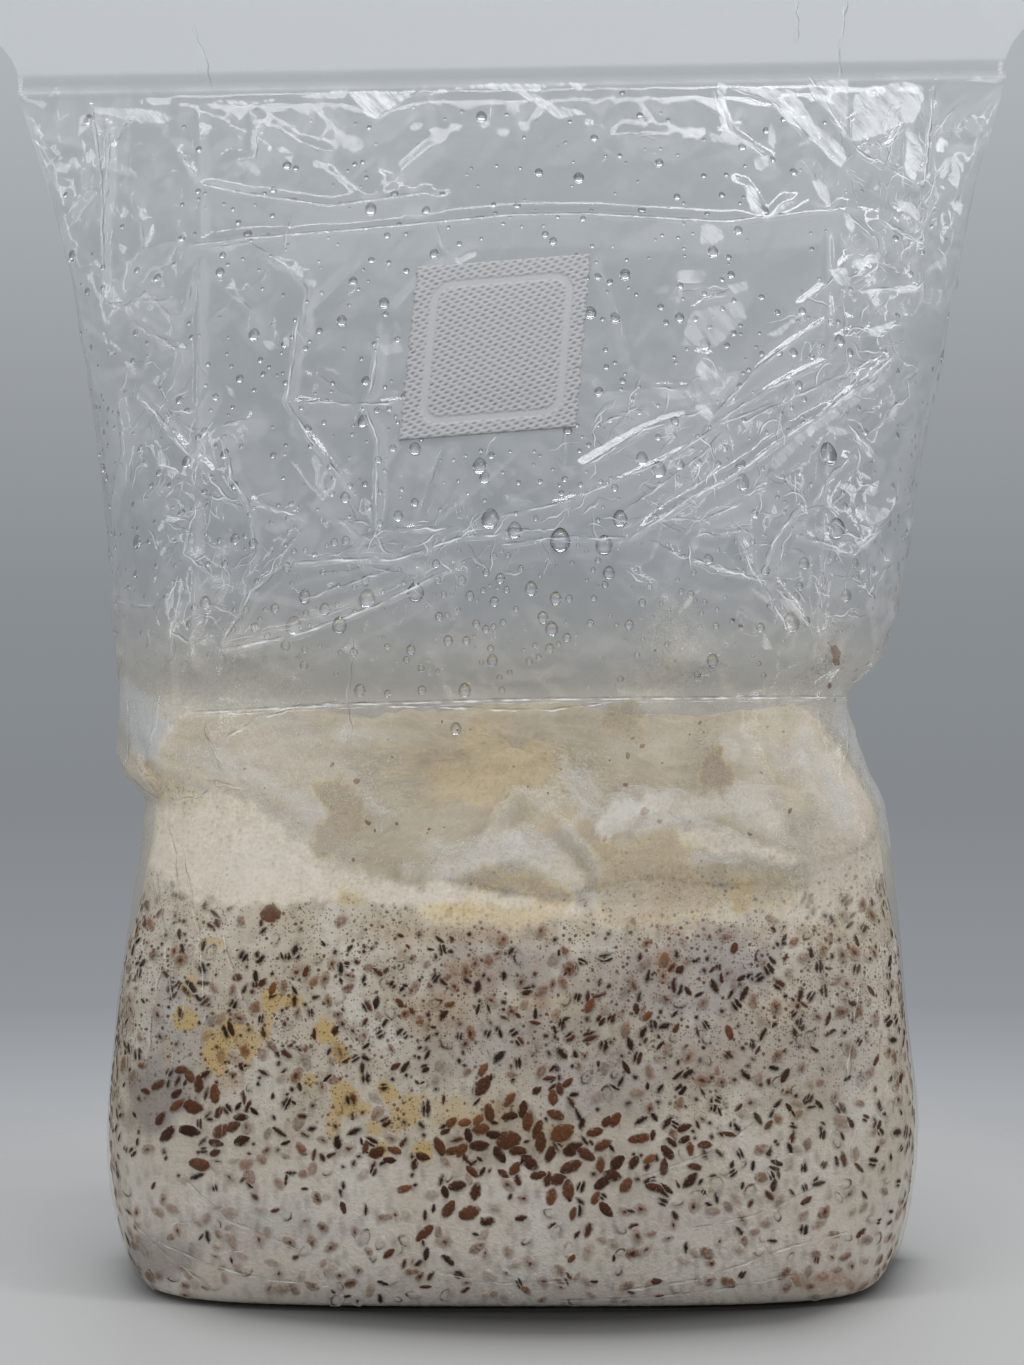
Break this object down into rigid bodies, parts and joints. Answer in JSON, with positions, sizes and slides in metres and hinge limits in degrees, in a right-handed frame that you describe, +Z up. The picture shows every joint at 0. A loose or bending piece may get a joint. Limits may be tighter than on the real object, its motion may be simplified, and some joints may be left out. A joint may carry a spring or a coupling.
{
  "type": "pioppino grain spawn bag",
  "caption": "Clear gusseted filter bag, heat sealed over a block of grain grown through with white mushroom threads, standing upright.",
  "frame": {"origin": "middle of the bag's flat base, on the surface it stands on", "axes": "+Z up the bag to its open end; -Y is the front, with the filter patch; +X is to the right seen from the front"},
  "size_m": [0.33, 0.122, 0.4078],
  "materials": {
    "film": "clear, crumpled",
    "filter": "matte, embossed",
    "grown_grain": "matte, felted"
  },
  "bodies": {
    "root": {"bag_film": "film", "filter_patch": "filter", "grain_block": "grown_grain"}
  },
  "joints": []
}
